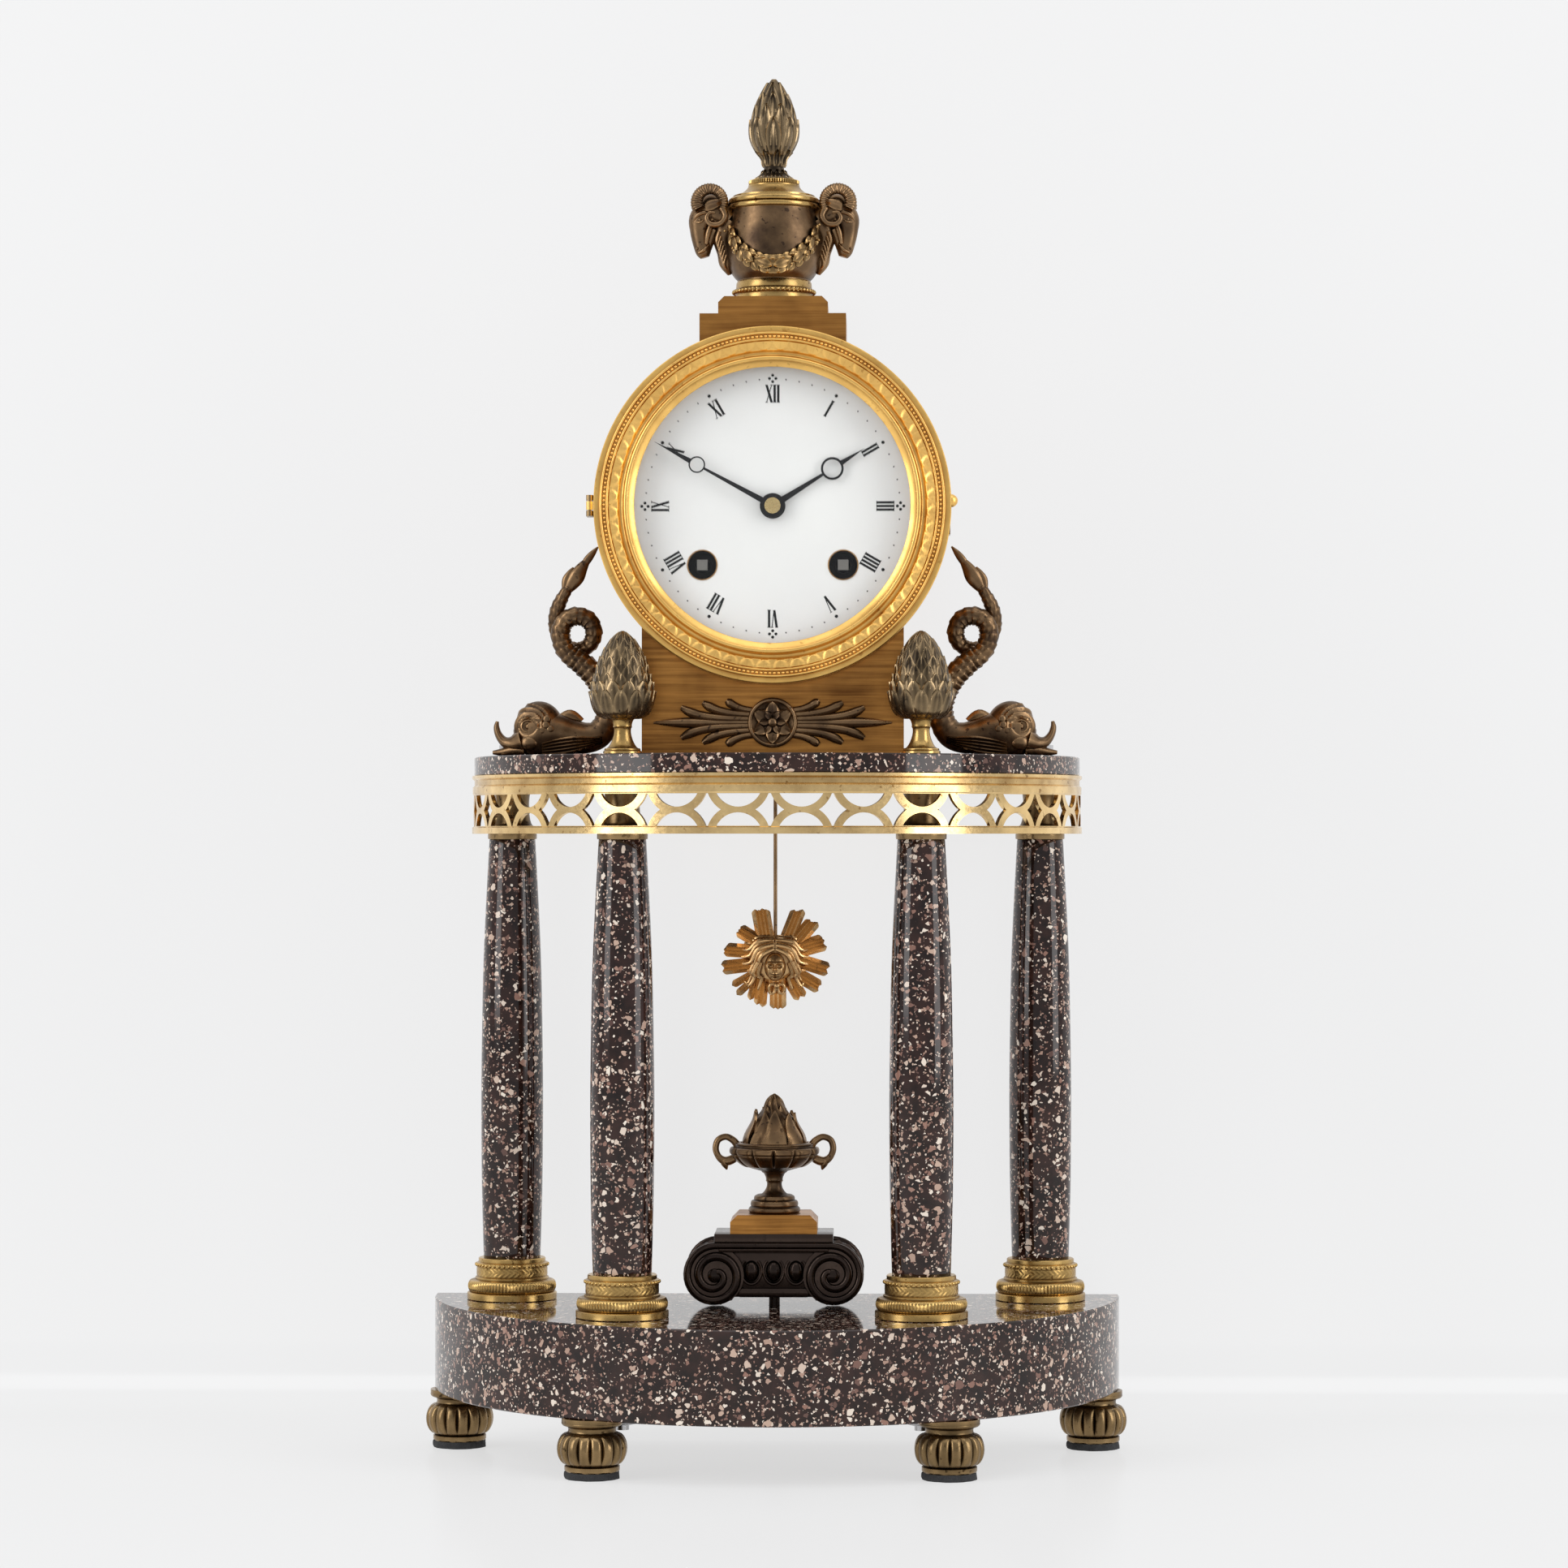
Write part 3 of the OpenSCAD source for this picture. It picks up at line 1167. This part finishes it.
// The centre arbor: wheel and pinion, the cannon with its pipe, and the collet over the hand
module center_arbor() {
    a = angle_of(inter_at, center_at);
    color([0.78, 0.6, 0.28]) {
        round_bar(center_at, arbor_r, t_back + 0.2, t_cannon - t_back);
        gear(center_at, center_pinion_teeth, inter_module, driven_phase(a, center_pinion_teeth),
            t_inter_wheel - 0.5, pinion_h);
        gear(center_at, center_teeth, center_module, angle_of(center_at, third_at), t_center_wheel, wheel_h);
        round_bar(center_at, cannon_pipe_r, t_inside - 0.6, t_minute_hand + hand_h + 0.4 - t_inside + 0.6);
        gear(center_at, cannon_teeth, cannon_module, angle_of(center_at, minute_at), t_cannon, motion_h);
        round_bar(center_at, 2.9, t_minute_hand + hand_h + 0.05, 0.6);
        round_bar(center_at, 0.8, t_minute_hand + hand_h, 1.1);
    }
}

// Motion work behind the dial
module hour_wheel() {
    a = angle_of(minute_at, center_at);
    color([0.8, 0.62, 0.3]) difference() {
        union() {
            gear(center_at, hour_teeth, hour_module, driven_phase(a, hour_teeth), t_hour_wheel, motion_h);
            round_bar(center_at, hour_pipe_r, t_hour_wheel, t_hour_hand + hand_h + 0.3 - t_hour_wheel);
        }
        round_bar(center_at, cannon_pipe_r + run_clear, t_hour_wheel - 1, t_minute_hand - t_hour_wheel + 1);
    }
}
module minute_wheel() {
    a = angle_of(center_at, minute_at);
    color([0.8, 0.62, 0.3]) difference() {
        union() {
            gear(minute_at, minute_teeth, cannon_module, driven_phase(a, minute_teeth), t_cannon, motion_h);
            gear(minute_at, minute_pinion_teeth, hour_module, angle_of(minute_at, center_at),
                t_hour_wheel, motion_h);
            round_bar(minute_at, 2, t_cannon, t_hour_wheel - t_cannon + motion_h);
        }
        round_bar(minute_at, pivot_r + run_clear, t_cannon - 1, motion_space + 2);
    }
}

// Spring barrels turn on winding arbors whose squares stand in the dial's holes
module barrel(at, phase) {
    color([0.8, 0.62, 0.3]) difference() {
        union() {
            gear(at, barrel_teeth, barrel_module, phase, t_barrel_wheel, t_barrel - t_barrel_wheel);
            round_bar(at, barrel_r, t_barrel - 0.2, t_barrel_end - t_barrel + 0.2);
        }
        round_bar(at, winding_r + run_clear, t_barrel_wheel - 1, t_barrel_end - t_barrel_wheel + 2);
    }
}
module winding_arbor(at) {
    s = winding_square;
    color([0.6, 0.6, 0.62]) {
        round_bar(at, winding_r, t_back, t_plate + 1 - t_back);
        forward(t_plate, t_dial + 0.4 - t_plate) translate(at) square([s, s], center = true);
    }
}
module going_barrel() {
    barrel(going_at, angle_of(going_at, inter_at));
}
module strike_barrel() {
    barrel(strike_at, 0);
}
module going_arbor() {
    winding_arbor(going_at);
}
module strike_arbor() {
    winding_arbor(strike_at);
}

// The rest of the going train, on pivots between the plates
module train_arbor(at, r) {
    round_bar(at, pivot_r, t_back, plate_gap + 2 * plate_h);
    round_bar(at, r, t_back_inside + 0.2, plate_gap - 0.4);
}
module intermediate_wheel() {
    a = angle_of(going_at, inter_at);
    color([0.8, 0.62, 0.3]) {
        train_arbor(inter_at, arbor_r);
        gear(inter_at, inter_pinion_teeth, barrel_module, driven_phase(a, inter_pinion_teeth),
            t_barrel_wheel - 0.3, pinion_h);
        gear(inter_at, inter_teeth, inter_module, angle_of(inter_at, center_at), t_inter_wheel, wheel_h);
    }
}
module third_wheel() {
    a = angle_of(center_at, third_at);
    color([0.8, 0.62, 0.3]) {
        train_arbor(third_at, pivot_r + 0.15);
        gear(third_at, third_pinion_teeth, center_module, driven_phase(a, third_pinion_teeth),
            t_center_wheel - 0.5, pinion_h);
        gear(third_at, third_teeth, third_module, angle_of(third_at, escape_at), t_third_wheel, wheel_h);
    }
}
module escape_outline() {
    polygon([
        for (i = [0 : escape_teeth - 1], p = [[0, 0.84], [0.42, 1], [0.56, 1], [0.7, 0.84]])
            let (a = (i + p[0]) * 360 / escape_teeth)
                escape_r * p[1] * [cos(a), sin(a)]
    ]);
}
module escape_wheel() {
    a = angle_of(third_at, escape_at);
    color([0.8, 0.62, 0.3]) {
        round_bar(escape_at, pivot_r - 0.2, t_back_inside + plate_gap - 1, plate_h + 1);
        round_bar(escape_at, pivot_r - 0.2, t_back, plate_h + plate_gap);
        round_bar(escape_at, pivot_r, t_back, plate_h);
        round_bar(escape_at, pivot_r, t_inside, plate_h);
        gear(escape_at, escape_pinion_teeth, third_module, driven_phase(a, escape_pinion_teeth),
            t_third_wheel - 0.5, pinion_h);
        forward(t_escape_wheel, wheel_h) translate(escape_at) escape_outline();
    }
}

// The anchor rocks on the pivot line; its crutch forks round the pendulum rod
pallet_r = escape_r + 1.6;
pallet_x = 7.6;
crutch_l = 34;
fork_gap = 0.45;
module anchor_outline() {
    drop = pivot_rise - escape_rise - sqrt(pallet_r * pallet_r - pallet_x * pallet_x);
    circle(r = 2.6);
    for (s = [-1, 1]) polygon([
        [0, 2], [s * (pallet_x + 1.6), 0.4 - drop * 0.4], [s * (pallet_x + 1.8), -drop],
        [s * pallet_x, -drop], [s * (pallet_x - 0.4), -drop * 0.7], [0, -1.6]
    ]);
}
module anchor_crutch() {
    fork_z = pivot_rise - crutch_l;
    prong = pendulum_rod_d / 2 + fork_gap;
    color([0.6, 0.6, 0.62]) {
        round_bar(pivot_at, arbor_r, t_crutch, t_plate - t_crutch);
        forward(t_escape_wheel, wheel_h) translate(pivot_at) anchor_outline();
        forward(t_crutch, wheel_h) translate(pivot_at) {
            circle(r = 2.6);
            translate([-0.9, -crutch_l]) square([1.8, crutch_l]);
        }
        for (s = [-1, 1]) translate([s > 0 ? prong : -prong - 1, -t_crutch - wheel_h, z_axis + fork_z])
            cube([1, t_crutch + wheel_h - pendulum_t + 0.8, 2]);
        translate([-prong - 1, -t_crutch - wheel_h, z_axis + fork_z]) cube([2 * prong + 2, wheel_h, 2]);
    }
}

// The strike hammer on its stud behind the back plate
module strike_hammer() {
    a = angle_of(hammer_at, hammer_head_at);
    reach = norm(hammer_head_at - hammer_at);
    t_arm = t_crutch - 1.6;
    color([0.6, 0.6, 0.62]) difference() {
        union() {
            round_bar(hammer_at, 3, t_arm, 4);
            forward(t_arm + 1, 1.8) translate(hammer_at) rotate(a) translate([0, -1]) square([reach, 2]);
            round_bar(hammer_head_at, 2.8, t_bell_apex + 5, t_arm + 3.4 - t_bell_apex - 5);
        }
        round_bar(hammer_at, hammer_stud_r + run_clear, t_arm - 1, 6);
    }
}

// The pendulum: a thin rod with an eye on the pin, and the sun-ray bob
bob_h_thick = 3;
bob_relief = 5.8;
bob_rays = 13;
ray_profile = [[0, 0.62], [0.2, 0.92], [0.36, 0.78], [0.5, 1], [0.64, 0.78], [0.8, 0.92]];
rod_into_bob = 8;
module pendulum_rod() {
    low = z_bob + bob_h / 2 - rod_into_bob - bob_h * 0.12;
    color([0.66, 0.5, 0.26]) difference() {
        union() {
            translate([0, -pendulum_t, low]) cylinder(d = pendulum_rod_d, h = z_pivot - 1.5 - low);
            round_bar(pivot_at, 2.2, pendulum_t - eye_h / 2, eye_h);
        }
        round_bar(pivot_at, cock_pin_r + run_clear, pendulum_t - eye_h, 2 * eye_h);
    }
}
module ray_outline() {
    polygon([
        for (i = [0 : bob_rays - 1], p = ray_profile)
            let (a = 90 + (i + p[0] - 0.5) * 360 / bob_rays)
                p[1] * [bob_w / 2 * cos(a), bob_h / 2 * sin(a)]
    ]);
}
module pendulum_bob() {
    bore = pendulum_rod_d / 2 + run_clear / 2;
    top = z_bob + bob_h / 2 - bob_h * 0.12;
    face_r = bob_h * 0.3;
    color([0.78, 0.52, 0.3]) difference() {
        union() {
            translate([0, -pendulum_t + bob_h_thick / 2, z_bob]) rotate([90, 0, 0])
                linear_extrude(bob_h_thick) ray_outline();
            translate([0, -pendulum_t - bob_h_thick / 2, z_bob]) rotate([90, 0, 0]) rotate_extrude()
                polygon([
                    [0, 0], [face_r, 0], [face_r * 0.94, bob_relief * 0.34],
                    [face_r * 0.72, bob_relief * 0.72], [face_r * 0.36, bob_relief * 0.93], [0, bob_relief]
                ]);
        }
        translate([0, -pendulum_t, top - rod_into_bob]) cylinder(r = bore, h = rod_into_bob + bob_h);
    }
}

placed() base_plinth();
placed() bun_feet();
placed() felt_pads();
for (i = [0 : 3]) placed() column_shaft(i);
placed() column_bases();
placed() column_capitals();
placed() tie_rods();
placed() gallery_frieze();
placed() entablature_slab();
placed() fixing_bolts();
placed() altar_capital();
placed() altar_step();
placed() altar_tazza();
placed() altar_flame();
placed() case_pedestal();
placed() rosette_mount();
placed() drum_case();
placed() dial_ring();
placed() urn_plinth();
placed() urn_step();
placed() urn_body();
placed() urn_lid();
placed() urn_finial();
placed() ram_head(-1);  // ram_head_left
placed() ram_head(1);  // ram_head_right
placed() urn_garland();
placed() urn_bolt();
placed() dolphin(-1);  // dolphin_left
placed() dolphin(1);  // dolphin_right
placed() pinecone(inner_columns[0]);  // pinecone_left
placed() pinecone(inner_columns[1]);  // pinecone_right
placed() dial();
placed() front_plate();
placed() back_plate();
placed() plate_pillars();
placed() bell();
placed() suspension_cock();
placed() case_hinges();
placed() rear_door();
placed() bezel();
placed() bezel_glass();
placed() minute_hand();
placed() center_arbor();
placed() hour_hand();
placed() hour_wheel();
placed() minute_wheel();
placed() going_barrel();
placed() going_arbor();
placed() strike_barrel();
placed() strike_arbor();
placed() intermediate_wheel();
placed() third_wheel();
placed() escape_wheel();
placed() anchor_crutch();
placed() strike_hammer();
placed() pendulum_rod();
placed() pendulum_bob();
